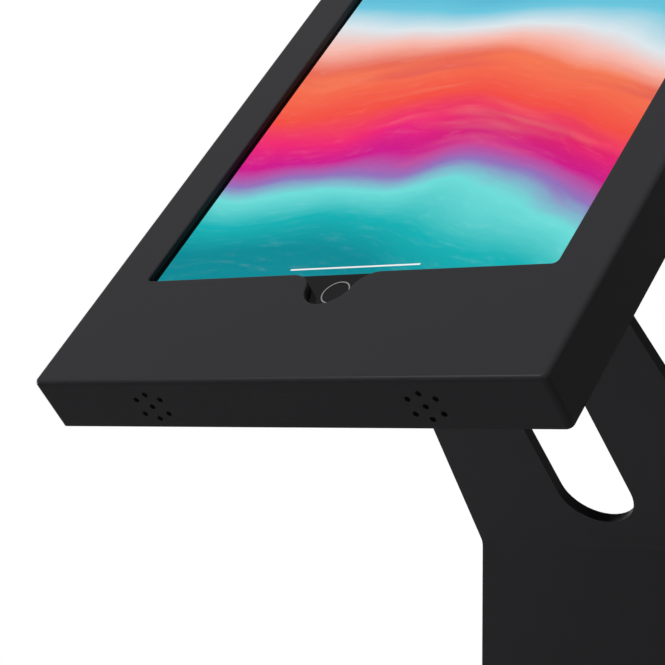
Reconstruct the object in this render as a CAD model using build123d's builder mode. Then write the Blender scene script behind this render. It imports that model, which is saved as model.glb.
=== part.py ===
from build123d import *

import os
from math import cos, radians, sin

# Tablet security kiosk on a floor stand. One bent steel plate makes the foot, the column, the leaning
# neck and the flange behind a locking sheet-metal housing, which holds a tablet tilted back.
# Millimetres, +Z up, the screen faces -Y. The origin is the middle of the base, on the floor.

os.makedirs("parts", exist_ok=True)

# Base
base_width = 380.0
base_depth = 420.0
base_thickness = 8.0
base_corner_radius = 24.0
base_edge_chamfer = 1.2
anchor_inset = 25.0
anchor_hole_radius = 5.5

# Rubber feet
foot_height = 6.0
foot_radius = 22.0
foot_inset = 60.0
foot_edge_chamfer = 1.2
foot_screw_radius = 2.5
foot_screw_head_radius = 5.0
foot_screw_head_height = 2.6
foot_screw_reach = 6.0
foot_screw_sink = 4.2

# Bent column plate: foot flange, column, neck and head flange
plate_thickness = 4.0
bend_radius = 4.0
column_width = 124.0
column_setback = 75.5
bend_height = 860.5
foot_flange_depth = 52.0
screen_tilt = 45.0
neck_length = 164.7
neck_top_width = 85.4
neck_seat = 104.4
neck_slot_width = 30.6
neck_slot_start = 13.6
neck_slot_end_margin = 24.0
flange_length = 100.0
flange_corner_radius = 10.0
flange_bolt_edge = 12.0
flange_bolt_low = 22.0

# Bolts through the foot flange into the base
foot_bolt_radius = 4.0
foot_bolt_clearance = 0.25
foot_bolt_head_width = 13.0
foot_bolt_head_height = 5.3
foot_bolt_spacing_x = 80.0
foot_bolt_first_y = 16.0
foot_bolt_spacing_y = 22.0

# Folded channel behind the column plate
channel_inset = 4.0
channel_depth = 46.0
channel_sheet = 2.0
channel_bend_radius = 4.0
channel_lip = 13.0
channel_foot_gap = 0.3
channel_top_drop = 12.0

# Rear cover of the column
cover_sheet = 1.5
cover_inset = 1.0
cover_corner_radius = 3.0
cover_screw_radius = 2.0
cover_screw_head_radius = 3.8
cover_screw_head_height = 2.2
cover_screw_length = 8.0
cover_screw_end_margin = 36.0
cover_screw_rows = 3
cover_screw_socket_width = 2.5
cover_screw_socket_depth = 1.4
outlet_width = 40.0
outlet_height = 26.0
outlet_corner_radius = 9.0
outlet_trim_wall = 2.0
outlet_trim_lip = 2.4
outlet_trim_lip_thickness = 1.5

# Cap on top of the channel
cap_thickness = 3.0
cap_edge_chamfer = 1.0
cap_skirt_height = 10.0
cap_skirt_wall = 2.0
cap_fit_gap = 0.4
cap_hole_radius = 14.0
cap_grommet_wall = 2.5
cap_grommet_lip = 2.5
cap_grommet_lip_thickness = 1.5

# Front housing: gaps from its walls to the tablet, and from the opening to the display
housing_sheet = 2.0
housing_side_gap = 9.1
housing_top_gap = 2.6
housing_low_gap = 30.9
opening_side_cover = 2.3
opening_low_gap = 3.1
opening_high_gap = 2.9
housing_corner_radius = 2.0
front_bend_radius = 1.7
opening_corner_radius = 1.8
opening_edge_radius = 0.6
notch_radius = 9.1
notch_shoulder_radius = 8.5
speaker_x = 52.7
speaker_depth = 11.1
speaker_hole_radius = 1.05
speaker_column_reach = 5.0
speaker_row_reach = 3.0
speaker_end_reach = 5.1

# Hinge along the top of the housing
hinge_pin_radius = 1.5
hinge_pin_clearance = 0.06
knuckle_length = 26.0
knuckle_count = 5
hinge_side_gap = 0.4
hinge_gap = 0.3

# Back plate of the housing
back_plate_gap = 0.3
back_plate_corner_radius = 1.5
cable_slot_length = 36.0
cable_slot_width = 16.0
cable_slot_up = 78.0
vent_length = 110.0
vent_width = 5.0
vent_rows = 4
vent_pitch = 12.0
vent_drop = 44.0

# Flange screws and clinch nuts
flange_screw_radius = 2.5
flange_screw_clearance = 0.25
flange_screw_head_radius = 4.75
flange_screw_head_height = 2.75
flange_screw_socket_width = 3.0
flange_screw_socket_depth = 1.6
clinch_nut_radius = 4.8
clinch_nut_height = 3.0
thread_gap = 0.05

# Cam lock
lock_x = 28.0
lock_up = 20.0
lock_body_radius = 7.0
lock_body_reach = 9.0
lock_flange_radius = 9.5
lock_flange_thickness = 2.5
lock_nut_width = 19.0
lock_nut_height = 3.2
lock_hole_gap = 0.2
lock_plug_radius = 4.2
lock_plug_clearance = 0.06
keyway_width = 1.4
keyway_length = 5.6
keyway_depth = 6.0
cam_thickness = 1.6
cam_length = 15.0
cam_width = 10.0
cam_gap = 0.2
cam_screw_radius = 1.5
cam_screw_head_radius = 3.0
cam_screw_head_height = 1.8
catch_gap = 0.4
catch_reach = 9.0
catch_width = 20.0
catch_leg = 7.0
catch_sheet = 1.5

# Tablet
display_width = 164.6
display_height = 214.0
display_thickness = 0.4
bezel_side = 4.7
bezel_end = 18.3
tablet_corner_radius = 10.0
tablet_back_edge_chamfer = 2.2
tablet_wall = 1.2
glass_gap = 1.7
glass_thickness = 0.7
shell_depth = 6.0
shell_back_gap = 7.5
home_drop = 8.3
home_ring_radius = 5.0
home_ring_width = 0.4
home_button_gap = 0.15
home_button_depth = 1.6
home_button_recess = 0.1
side_button_length = 10.0
side_button_width = 2.4
side_button_proud = 0.6
side_button_depth = 2.2
side_button_gap = 0.15
power_button_inset = 35.0
volume_button_drop = 61.5
volume_button_pitch = 14.0
camera_radius = 4.4
camera_proud = 0.6
camera_glass_radius = 3.0
camera_inset = 17.0
battery_side_gap = 16.0
battery_low_gap = 36.3
battery_high_gap = 64.3
battery_split = 6.0
battery_thickness = 3.6
board_side_gap = 12.0
board_height = 26.0
board_thickness = 0.8
board_standoff = 1.6
chip_width = 14.0
chip_thickness = 1.4
chip_pitch = 30.0
chip_count = 4
speaker_box_length = 40.0
speaker_box_inset = 14.3
speaker_box_height = 14.0
speaker_box_thickness = 4.0
port_width = 9.0
port_height = 3.0
port_depth = 4.0
port_wall = 0.6

# Gasket and corner blocks that hold the tablet
gasket_edge = 0.6
gasket_glass_gap = 0.1
block_size = 30.0
block_arm = 11.0
block_wall = 1.9
block_clearance = 0.3
block_drop = 2.0
block_corner_radius = 3.0

# Cuts run this far past the faces that they leave
overrun = 1.0

# Heights and places worked out from the sizes above
base_bottom = foot_height
base_top = base_bottom + base_thickness
foot_flange_top = base_top + plate_thickness
column_front_y = base_depth / 2 - column_setback
column_back_y = column_front_y + plate_thickness
outer_bend_radius = bend_radius + plate_thickness
glass_depth = housing_sheet + glass_gap
shell_front_depth = glass_depth + glass_thickness
shell_back_depth = shell_front_depth + shell_depth
shell_floor_depth = shell_back_depth - tablet_wall
back_plate_inner_depth = shell_back_depth + shell_back_gap
housing_depth = back_plate_inner_depth + housing_sheet
tablet_width = display_width + 2 * bezel_side
tablet_height = display_height + 2 * bezel_end
tablet_low = housing_sheet + housing_low_gap
tablet_high = tablet_low + tablet_height
tablet_mid_up = (tablet_low + tablet_high) / 2
display_low = tablet_low + bezel_end
home_up = display_low - home_drop
opening_low = display_low - opening_low_gap
opening_high = display_low + display_height + opening_high_gap
opening_width = display_width - 2 * opening_side_cover
housing_width = tablet_width + 2 * (housing_side_gap + housing_sheet)
housing_height = tablet_high + housing_top_gap + housing_sheet
head_up = Vector(0, cos(radians(screen_tilt)), sin(radians(screen_tilt)))
head_out = Vector(0, -sin(radians(screen_tilt)), cos(radians(screen_tilt)))
bend_point = Vector(0, column_front_y, bend_height)
neck_top = bend_point + head_out * neck_length
flange_end = neck_top + head_up * flange_length
head_corner = neck_top + head_out * housing_depth - head_up * neck_seat

# Planes: the front of the housing, with X across and Y up its slope, the front of the neck, the
# lower wall of the housing, and sections across X
face_plane = Plane(origin=head_corner, x_dir=(1, 0, 0), z_dir=head_out)
neck_plane = Plane(origin=bend_point, x_dir=(1, 0, 0), z_dir=-head_up)
lower_wall_plane = Plane(origin=head_corner, x_dir=(1, 0, 0), z_dir=-head_up)
out_axis = Axis(head_corner, head_out)
up_axis = Axis(head_corner, head_up)


def at_depth(depth):
    """Plane parallel to the front of the housing, this far behind it."""
    return face_plane.offset(-depth)


def section_at(x):
    """Plane across X at x: its X runs up the slope of the housing and its Y out of the screen."""
    return Plane(origin=head_corner + Vector(x, 0, 0), x_dir=head_up, z_dir=(1, 0, 0))


def facing_back(y):
    """Upright plane at y that faces backwards, with heights as its Y."""
    return Plane(origin=(0, y, 0), x_dir=(-1, 0, 0), z_dir=(0, 1, 0))


# Base plate with anchor holes at the corners, tapped holes for the column bolts and for the feet
anchor_spacing_x = base_width - 2 * anchor_inset
anchor_spacing_y = base_depth - 2 * anchor_inset
foot_spacing_x = base_width - 2 * foot_inset
foot_spacing_y = base_depth - 2 * foot_inset
foot_bolt_mid_y = column_front_y + foot_bolt_first_y + foot_bolt_spacing_y / 2

with BuildPart() as base_plate:
    with BuildSketch(Plane.XY.offset(base_bottom)):
        RectangleRounded(base_width, base_depth, base_corner_radius)
    extrude(amount=base_thickness)
    chamfer(base_plate.faces().sort_by(Axis.Z)[-1].edges(), base_edge_chamfer)
    with BuildSketch(Plane.XY.offset(base_top)):
        with GridLocations(anchor_spacing_x, anchor_spacing_y, 2, 2):
            Circle(anchor_hole_radius)
        with Locations((0, foot_bolt_mid_y)):
            with GridLocations(foot_bolt_spacing_x, foot_bolt_spacing_y, 2, 2):
                Circle(foot_bolt_radius + thread_gap)
    extrude(amount=-(base_thickness + overrun), mode=Mode.SUBTRACT)
    with BuildSketch(Plane.XY.offset(base_bottom)):
        with GridLocations(foot_spacing_x, foot_spacing_y, 2, 2):
            Circle(foot_screw_radius + thread_gap)
    extrude(amount=foot_screw_reach + thread_gap, mode=Mode.SUBTRACT)
base_plate.part.label = "base_plate"
export_step(base_plate.part, "parts/base_plate.step")


# Rubber feet: turned pads with a sunk hole for the screw head
def foot_pad(x, y):
    with BuildPart() as pad:
        with BuildSketch(Plane.XY):
            with Locations((x, y)):
                Circle(foot_radius)
        extrude(amount=foot_height)
        chamfer(pad.faces().sort_by(Axis.Z)[0].edges(), foot_edge_chamfer)
        with BuildSketch(Plane.XY):
            with Locations((x, y)):
                Circle(foot_screw_head_radius + thread_gap)
        extrude(amount=foot_screw_sink, mode=Mode.SUBTRACT)
        with BuildSketch(Plane.XY):
            with Locations((x, y)):
                Circle(foot_screw_radius + thread_gap)
        extrude(amount=foot_height, mode=Mode.SUBTRACT)
    return pad


foot_places = {
    "foot_front_left": (-foot_spacing_x / 2, -foot_spacing_y / 2),
    "foot_front_right": (foot_spacing_x / 2, -foot_spacing_y / 2),
    "foot_rear_left": (-foot_spacing_x / 2, foot_spacing_y / 2),
    "foot_rear_right": (foot_spacing_x / 2, foot_spacing_y / 2),
}
for foot_name, (foot_x, foot_y) in foot_places.items():
    foot = foot_pad(foot_x, foot_y)
    foot.part.label = foot_name
    export_step(foot.part, f"parts/{foot_name}.step")

with BuildPart() as foot_screws:
    with BuildSketch(Plane.XY.offset(foot_screw_sink - foot_screw_head_height)):
        with GridLocations(foot_spacing_x, foot_spacing_y, 2, 2):
            Circle(foot_screw_head_radius)
    extrude(amount=foot_screw_head_height)
    with BuildSketch(Plane.XY.offset(foot_screw_sink)):
        with GridLocations(foot_spacing_x, foot_spacing_y, 2, 2):
            Circle(foot_screw_radius)
    extrude(amount=foot_height - foot_screw_sink + foot_screw_reach)
foot_screws.part.label = "foot_screws"
export_step(foot_screws.part, "parts/foot_screws.step")

# Column plate: one strip bent at the foot, at the neck and behind the housing. Its side profile is
# the front face of the strip, offset backwards by the plate's thickness; the neck is then tapered,
# slotted and drilled.
neck_slot_length = neck_length - neck_slot_start - neck_slot_end_margin
neck_slot_mid = neck_slot_start + neck_slot_length / 2
flange_bolt_spacing_x = neck_top_width - 2 * flange_bolt_edge
flange_bolt_spacing_y = flange_length - flange_bolt_low - flange_bolt_edge
flange_bolt_mid = neck_seat + flange_bolt_low + flange_bolt_spacing_y / 2
flange_hole_radius = flange_screw_radius + flange_screw_clearance

with BuildPart() as column_plate:
    with BuildSketch(Plane.YZ):
        with BuildLine():
            FilletPolyline(
                (column_front_y + foot_flange_depth, base_top),
                (column_front_y, base_top),
                (bend_point.Y, bend_point.Z),
                (neck_top.Y, neck_top.Z),
                (flange_end.Y, flange_end.Z),
                radius=[outer_bend_radius, bend_radius, outer_bend_radius],
            )
            offset(amount=plate_thickness, side=Side.RIGHT)
        make_face()
    extrude(amount=column_width / 2, both=True)
    with BuildSketch(neck_plane):
        with BuildLine():
            Polyline(
                (column_width / 2, 0),
                (neck_top_width / 2, neck_length - plate_thickness),
                (neck_top_width / 2, neck_length + overrun),
                (column_width / 2 + overrun, neck_length + overrun),
                (column_width / 2 + overrun, 0),
                close=True,
            )
        make_face()
        mirror(about=Plane.YZ)
    extrude(amount=flange_length + overrun, both=True, mode=Mode.SUBTRACT)
    with BuildSketch(neck_plane):
        with Locations((0, neck_slot_mid)):
            SlotOverall(neck_slot_length, neck_slot_width, rotation=90)
    extrude(amount=plate_thickness + overrun, both=True, mode=Mode.SUBTRACT)
    flange_corners = column_plate.edges().filter_by(out_axis).sort_by(up_axis)[-2:]
    fillet(flange_corners, flange_corner_radius)
    with BuildSketch(at_depth(housing_depth)):
        with Locations((0, flange_bolt_mid)):
            with GridLocations(flange_bolt_spacing_x, flange_bolt_spacing_y, 2, 2):
                Circle(flange_hole_radius)
    extrude(amount=-(plate_thickness + overrun), mode=Mode.SUBTRACT)
    with BuildSketch(Plane.XY.offset(foot_flange_top)):
        with Locations((0, foot_bolt_mid_y)):
            with GridLocations(foot_bolt_spacing_x, foot_bolt_spacing_y, 2, 2):
                Circle(foot_bolt_radius + foot_bolt_clearance)
    extrude(amount=-(plate_thickness + overrun), mode=Mode.SUBTRACT)
column_plate.part.label = "column_plate"
export_step(column_plate.part, "parts/column_plate.step")

# Hexagon bolts that hold the foot flange to the base
with BuildPart() as foot_bolts:
    with BuildSketch(Plane.XY.offset(foot_flange_top)):
        with Locations((0, foot_bolt_mid_y)):
            with GridLocations(foot_bolt_spacing_x, foot_bolt_spacing_y, 2, 2):
                RegularPolygon(foot_bolt_head_width / 2, 6, major_radius=False)
    extrude(amount=foot_bolt_head_height)
    with BuildSketch(Plane.XY.offset(foot_flange_top)):
        with Locations((0, foot_bolt_mid_y)):
            with GridLocations(foot_bolt_spacing_x, foot_bolt_spacing_y, 2, 2):
                Circle(foot_bolt_radius)
    extrude(amount=-(plate_thickness + base_thickness - overrun))
foot_bolts.part.label = "foot_bolts"
export_step(foot_bolts.part, "parts/foot_bolts.step")

# Channel: folded sheet welded to the back of the column plate, with lips that carry the rear cover.
# Its web is cut away at the bottom, where the foot of the plate bends.
channel_bottom = foot_flange_top
channel_top = bend_height - channel_top_drop
channel_half = column_width / 2 - channel_inset
channel_back_y = column_back_y + channel_depth
channel_height = channel_top - channel_bottom
cover_screw_x = channel_half - channel_lip / 2
cover_screw_low = channel_bottom + cover_screw_end_margin
cover_screw_high = channel_top - cover_screw_end_margin
cover_screw_pitch = (cover_screw_high - cover_screw_low) / (cover_screw_rows - 1)
cover_screw_mid = (cover_screw_high + cover_screw_low) / 2

with BuildPart() as column_channel:
    with BuildSketch(Plane.XY.offset(channel_bottom)):
        with BuildLine():
            FilletPolyline(
                (-channel_half + channel_lip, channel_back_y),
                (-channel_half, channel_back_y),
                (-channel_half, column_back_y),
                (channel_half, column_back_y),
                (channel_half, channel_back_y),
                (channel_half - channel_lip, channel_back_y),
                radius=channel_bend_radius,
            )
            offset(amount=channel_sheet, side=Side.LEFT)
        make_face()
    extrude(amount=channel_height)
    with BuildSketch(Plane.YZ):
        with Locations((column_back_y, channel_bottom)):
            Rectangle(2 * (bend_radius + channel_foot_gap), 2 * (bend_radius + channel_foot_gap))
    extrude(amount=column_width / 2, both=True, mode=Mode.SUBTRACT)
    with BuildSketch(facing_back(channel_back_y)):
        with Locations((0, cover_screw_mid)):
            with GridLocations(2 * cover_screw_x, cover_screw_pitch, 2, cover_screw_rows):
                Circle(cover_screw_radius + thread_gap)
    extrude(amount=-(channel_sheet + overrun), mode=Mode.SUBTRACT)
column_channel.part.label = "column_channel"
export_step(column_channel.part, "parts/column_channel.step")

# Rear cover: a flat panel on the lips of the channel, with a notch for the cable at its foot
cover_width = 2 * (channel_half - cover_inset)
cover_back_y = channel_back_y + cover_sheet

with BuildPart() as rear_cover:
    with BuildSketch(facing_back(channel_back_y)):
        with Locations((0, channel_bottom)):
            Rectangle(cover_width, channel_height, align=(Align.CENTER, Align.MIN))
    extrude(amount=cover_sheet)
    fillet(rear_cover.edges().filter_by(Axis.Y), cover_corner_radius)
    with BuildSketch(facing_back(channel_back_y)) as outlet:
        with Locations((0, channel_bottom)):
            Rectangle(outlet_width, outlet_height, align=(Align.CENTER, Align.MIN))
        fillet(outlet.vertices().sort_by(Axis.Y)[-2:], outlet_corner_radius)
    extrude(amount=cover_sheet, mode=Mode.SUBTRACT)
    with BuildSketch(facing_back(channel_back_y)):
        with Locations((0, cover_screw_mid)):
            with GridLocations(2 * cover_screw_x, cover_screw_pitch, 2, cover_screw_rows):
                Circle(cover_screw_radius + thread_gap)
    extrude(amount=cover_sheet, mode=Mode.SUBTRACT)
rear_cover.part.label = "rear_cover"
export_step(rear_cover.part, "parts/rear_cover.step")

with BuildPart() as rear_cover_screws:
    with BuildSketch(facing_back(cover_back_y)):
        with Locations((0, cover_screw_mid)):
            with GridLocations(2 * cover_screw_x, cover_screw_pitch, 2, cover_screw_rows):
                Circle(cover_screw_head_radius)
    extrude(amount=cover_screw_head_height)
    with BuildSketch(facing_back(cover_back_y + cover_screw_head_height)):
        with Locations((0, cover_screw_mid)):
            with GridLocations(2 * cover_screw_x, cover_screw_pitch, 2, cover_screw_rows):
                RegularPolygon(cover_screw_socket_width / 2, 6, major_radius=False)
    extrude(amount=-cover_screw_socket_depth, mode=Mode.SUBTRACT)
    with BuildSketch(facing_back(cover_back_y)):
        with Locations((0, cover_screw_mid)):
            with GridLocations(2 * cover_screw_x, cover_screw_pitch, 2, cover_screw_rows):
                Circle(cover_screw_radius)
    extrude(amount=-cover_screw_length)
rear_cover_screws.part.label = "rear_cover_screws"
export_step(rear_cover_screws.part, "parts/rear_cover_screws.step")


# Rubber trim round the cable outlet: a lining in the notch, with a lip on each side of the sheet
def outlet_sketch(y, grow):
    """The outlet's outline on an upright plane at y, larger by grow on its sides and top."""
    with BuildSketch(facing_back(y)) as outline:
        with Locations((0, channel_bottom)):
            Rectangle(
                outlet_width + 2 * grow,
                outlet_height + grow,
                align=(Align.CENTER, Align.MIN),
            )
        fillet(outline.vertices().sort_by(Axis.Y)[-2:], outlet_corner_radius + grow)
    return outline.sketch


trim_front_y = channel_back_y - outlet_trim_lip_thickness
trim_depth = cover_sheet + 2 * outlet_trim_lip_thickness

with BuildPart() as outlet_trim:
    extrude(outlet_sketch(trim_front_y, 0), amount=trim_depth, dir=(0, 1, 0))
    for lip_y in (trim_front_y, cover_back_y):
        extrude(
            outlet_sketch(lip_y, outlet_trim_lip),
            amount=outlet_trim_lip_thickness,
            dir=(0, 1, 0),
        )
    extrude(
        outlet_sketch(trim_front_y, -outlet_trim_wall),
        amount=trim_depth,
        dir=(0, 1, 0),
        mode=Mode.SUBTRACT,
    )
outlet_trim.part.label = "outlet_trim"
export_step(outlet_trim.part, "parts/outlet_trim.step")

# Cap that closes the channel at the top, with a skirt inside it and a lined hole for the cable
cap_mid_y = (column_back_y + cover_back_y) / 2
cap_depth = cover_back_y - column_back_y
skirt_width = 2 * (channel_half - channel_sheet - cap_fit_gap)
skirt_depth = channel_depth - 2 * (channel_sheet + cap_fit_gap)
skirt_mid_y = column_back_y + channel_depth / 2

with BuildPart() as column_cap:
    with BuildSketch(Plane.XY.offset(channel_top)):
        with Locations((0, cap_mid_y)):
            RectangleRounded(2 * channel_half, cap_depth, cover_corner_radius)
    extrude(amount=cap_thickness)
    chamfer(column_cap.faces().sort_by(Axis.Z)[-1].edges(), cap_edge_chamfer)
    with BuildSketch(Plane.XY.offset(channel_top)):
        with Locations((0, skirt_mid_y)):
            RectangleRounded(skirt_width, skirt_depth, channel_sheet)
            Rectangle(
                skirt_width - 2 * cap_skirt_wall,
                skirt_depth - 2 * cap_skirt_wall,
                mode=Mode.SUBTRACT,
            )
    extrude(amount=-cap_skirt_height)
    with BuildSketch(Plane.XY.offset(channel_top)):
        with Locations((0, skirt_mid_y)):
            Circle(cap_hole_radius)
    extrude(amount=cap_thickness + overrun, mode=Mode.SUBTRACT)
column_cap.part.label = "column_cap"
export_step(column_cap.part, "parts/column_cap.step")

with BuildPart() as cap_grommet:
    with BuildSketch(Plane.XZ):
        with BuildLine():
            Polyline(
                (cap_hole_radius - cap_grommet_wall, channel_top - cap_grommet_lip_thickness),
                (cap_hole_radius + cap_grommet_lip, channel_top - cap_grommet_lip_thickness),
                (cap_hole_radius + cap_grommet_lip, channel_top),
                (cap_hole_radius, channel_top),
                (cap_hole_radius, channel_top + cap_thickness),
                (cap_hole_radius + cap_grommet_lip, channel_top + cap_thickness),
                (
                    cap_hole_radius,
                    channel_top + cap_thickness + cap_grommet_lip_thickness,
                ),
                (
                    cap_hole_radius - cap_grommet_wall,
                    channel_top + cap_thickness + cap_grommet_lip_thickness,
                ),
                close=True,
            )
        make_face()
    revolve(axis=Axis.Z)
    cap_grommet.part = cap_grommet.part.moved(Location((0, skirt_mid_y, 0)))
cap_grommet.part.label = "cap_grommet"
export_step(cap_grommet.part, "parts/cap_grommet.step")

# Hinge segments along the top of the housing: even ones belong to the back plate, odd ones to the
# front housing. The knuckles are the edges of both sheets curled round the pin.
knuckle_radius = hinge_pin_radius + housing_sheet
hinge_depth = housing_depth - housing_sheet + knuckle_radius
hinge_up = housing_height - knuckle_radius
hinge_length = knuckle_length * knuckle_count
hinge_hole_radius = hinge_pin_radius + hinge_pin_clearance
segment_starts = [-hinge_length / 2 + i * knuckle_length for i in range(knuckle_count)]
plate_segments = segment_starts[0::2]
housing_segments = segment_starts[1::2]


def knuckle(start, leg_corner, leg_size):
    """One curled knuckle, a ring round the pin with its leg, over the length of a segment."""
    with BuildPart() as curl:
        with BuildSketch(section_at(start + hinge_side_gap / 2)):
            with Locations((hinge_up, -hinge_depth)):
                Circle(knuckle_radius)
            with Locations(leg_corner):
                Rectangle(*leg_size, align=(Align.MIN, Align.MIN))
            with Locations((hinge_up, -hinge_depth)):
                Circle(hinge_hole_radius, mode=Mode.SUBTRACT)
        extrude(amount=knuckle_length - hinge_side_gap)
    return curl.part


# Outline of the screen opening with the notch for the home button: a circle round the button that
# runs into the lower edge by two wide shoulders
with BuildSketch(face_plane) as opening_outline:
    with Locations((0, (opening_low + opening_high) / 2)):
        Rectangle(opening_width, opening_high - opening_low)
    fillet(opening_outline.vertices(), opening_corner_radius)
    with Locations(Location((0, home_up), 90)):
        Circle(notch_radius)
    notch_corners = opening_outline.vertices().filter_by_position(
        Axis.X, -notch_radius, notch_radius
    )
    fillet(notch_corners, notch_shoulder_radius)

# Front housing: a folded box open at the back, with the opening, two speaker grilles in its lower
# wall, and cut-outs and knuckles for the hinge in its upper wall
hinge_cutout_depth = housing_depth - (hinge_depth - knuckle_radius - hinge_gap)

with BuildPart() as front_housing:
    with BuildSketch(face_plane):
        Rectangle(housing_width, housing_height, align=(Align.CENTER, Align.MIN))
    extrude(amount=-housing_depth)
    fillet(front_housing.edges().filter_by(out_axis), housing_corner_radius)
    fillet(front_housing.faces().sort_by(out_axis)[-1].edges(), front_bend_radius)
    with BuildSketch(at_depth(housing_depth)):
        with Locations((0, housing_height / 2)):
            Rectangle(housing_width - 2 * housing_sheet, housing_height - 2 * housing_sheet)
    extrude(amount=housing_depth - housing_sheet, mode=Mode.SUBTRACT)
    extrude(opening_outline.sketch, amount=-2 * housing_sheet, mode=Mode.SUBTRACT)
    opening_edges = front_housing.faces().sort_by(out_axis)[-1].inner_wires()[0].edges()
    fillet(opening_edges, opening_edge_radius)
    with BuildSketch(lower_wall_plane):
        with Locations((-speaker_x, -speaker_depth), (speaker_x, -speaker_depth)):
            with GridLocations(2 * speaker_column_reach, 2 * speaker_row_reach, 2, 2):
                Circle(speaker_hole_radius)
            with Locations((0, -speaker_end_reach), (0, 0), (0, speaker_end_reach)):
                Circle(speaker_hole_radius)
    extrude(amount=-(housing_sheet + overrun), mode=Mode.SUBTRACT)
    for segment_start in plate_segments:
        with BuildSketch(at_depth(housing_depth)):
            with Locations((segment_start - hinge_side_gap / 2, housing_height)):
                Rectangle(
                    knuckle_length + hinge_side_gap,
                    2 * housing_sheet,
                    align=(Align.MIN, Align.CENTER),
                )
        extrude(amount=hinge_cutout_depth, mode=Mode.SUBTRACT)
    for segment_start in housing_segments:
        add(
            knuckle(
                segment_start,
                (housing_height - housing_sheet, -hinge_depth),
                (housing_sheet, hinge_depth - housing_depth + housing_sheet),
            )
        )
front_housing.part.label = "front_housing"
export_step(front_housing.part, "parts/front_housing.step")

# Back plate: closes the housing and carries the tablet, the lock and the neck flange
back_plate_low = housing_sheet + back_plate_gap
back_plate_width = housing_width - 2 * back_plate_low
back_plate_height = hinge_up - back_plate_low

with BuildPart() as back_plate:
    with BuildSketch(at_depth(housing_depth)):
        with Locations((0, back_plate_low)):
            Rectangle(back_plate_width, back_plate_height, align=(Align.CENTER, Align.MIN))
    extrude(amount=housing_sheet)
    fillet(back_plate.edges().filter_by(out_axis), back_plate_corner_radius)
    with BuildSketch(at_depth(housing_depth)):
        with Locations((0, cable_slot_up)):
            SlotOverall(cable_slot_length, cable_slot_width)
        with Locations((0, housing_height - vent_drop)):
            with GridLocations(vent_length, vent_pitch, 1, vent_rows):
                SlotOverall(vent_length, vent_width)
        with Locations((lock_x, lock_up)):
            Circle(lock_body_radius + lock_hole_gap)
        with Locations((0, flange_bolt_mid)):
            with GridLocations(flange_bolt_spacing_x, flange_bolt_spacing_y, 2, 2):
                Circle(flange_hole_radius)
        with Locations((0, hinge_up)):
            for segment_start in housing_segments:
                with Locations((segment_start - hinge_side_gap / 2, 0)):
                    Rectangle(
                        knuckle_length + hinge_side_gap,
                        2 * (knuckle_radius + hinge_gap),
                        align=(Align.MIN, Align.CENTER),
                    )
    extrude(amount=housing_sheet, mode=Mode.SUBTRACT)
    for segment_start in plate_segments:
        add(
            knuckle(
                segment_start,
                (hinge_up - housing_sheet, -housing_depth),
                (housing_sheet, housing_sheet),
            )
        )
back_plate.part.label = "back_plate"
export_step(back_plate.part, "parts/back_plate.step")

with BuildPart() as hinge_pin:
    with BuildSketch(section_at(-hinge_length / 2)):
        with Locations((hinge_up, -hinge_depth)):
            Circle(hinge_pin_radius)
    extrude(amount=hinge_length)
hinge_pin.part.label = "hinge_pin"
export_step(hinge_pin.part, "parts/hinge_pin.step")

# Button-head screws and clinch nuts that hold the back plate to the neck flange
flange_back_depth = housing_depth + plate_thickness

with BuildPart() as flange_screws:
    with BuildSketch(at_depth(flange_back_depth)):
        with Locations((0, flange_bolt_mid)):
            with GridLocations(flange_bolt_spacing_x, flange_bolt_spacing_y, 2, 2):
                Circle(flange_screw_head_radius)
    extrude(amount=-flange_screw_head_height)
    chamfer(
        flange_screws.faces().group_by(out_axis)[0].edges(),
        flange_screw_head_height / 3,
    )
    with BuildSketch(at_depth(flange_back_depth + flange_screw_head_height)):
        with Locations((0, flange_bolt_mid)):
            with GridLocations(flange_bolt_spacing_x, flange_bolt_spacing_y, 2, 2):
                RegularPolygon(flange_screw_socket_width / 2, 6, major_radius=False)
    extrude(amount=flange_screw_socket_depth, mode=Mode.SUBTRACT)
    with BuildSketch(at_depth(flange_back_depth)):
        with Locations((0, flange_bolt_mid)):
            with GridLocations(flange_bolt_spacing_x, flange_bolt_spacing_y, 2, 2):
                Circle(flange_screw_radius)
    extrude(amount=plate_thickness + housing_sheet + clinch_nut_height)
flange_screws.part.label = "flange_screws"
export_step(flange_screws.part, "parts/flange_screws.step")

with BuildPart() as clinch_nuts:
    with BuildSketch(at_depth(back_plate_inner_depth)):
        with Locations((0, flange_bolt_mid)):
            with GridLocations(flange_bolt_spacing_x, flange_bolt_spacing_y, 2, 2):
                Circle(clinch_nut_radius)
                Circle(flange_screw_radius + thread_gap, mode=Mode.SUBTRACT)
    extrude(amount=clinch_nut_height)
clinch_nuts.part.label = "clinch_nuts"
export_step(clinch_nuts.part, "parts/clinch_nuts.step")

# Cam lock: a barrel through the back plate, held by a nut, with a turning plug. The cam on the plug
# lies across the housing when it is unlocked and points down, in front of the catch, when locked.
lock_inner_depth = back_plate_inner_depth - lock_body_reach
lock_outer_depth = housing_depth + lock_flange_thickness
cam_back_depth = lock_inner_depth - cam_gap
cam_front_depth = cam_back_depth - cam_thickness

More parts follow.
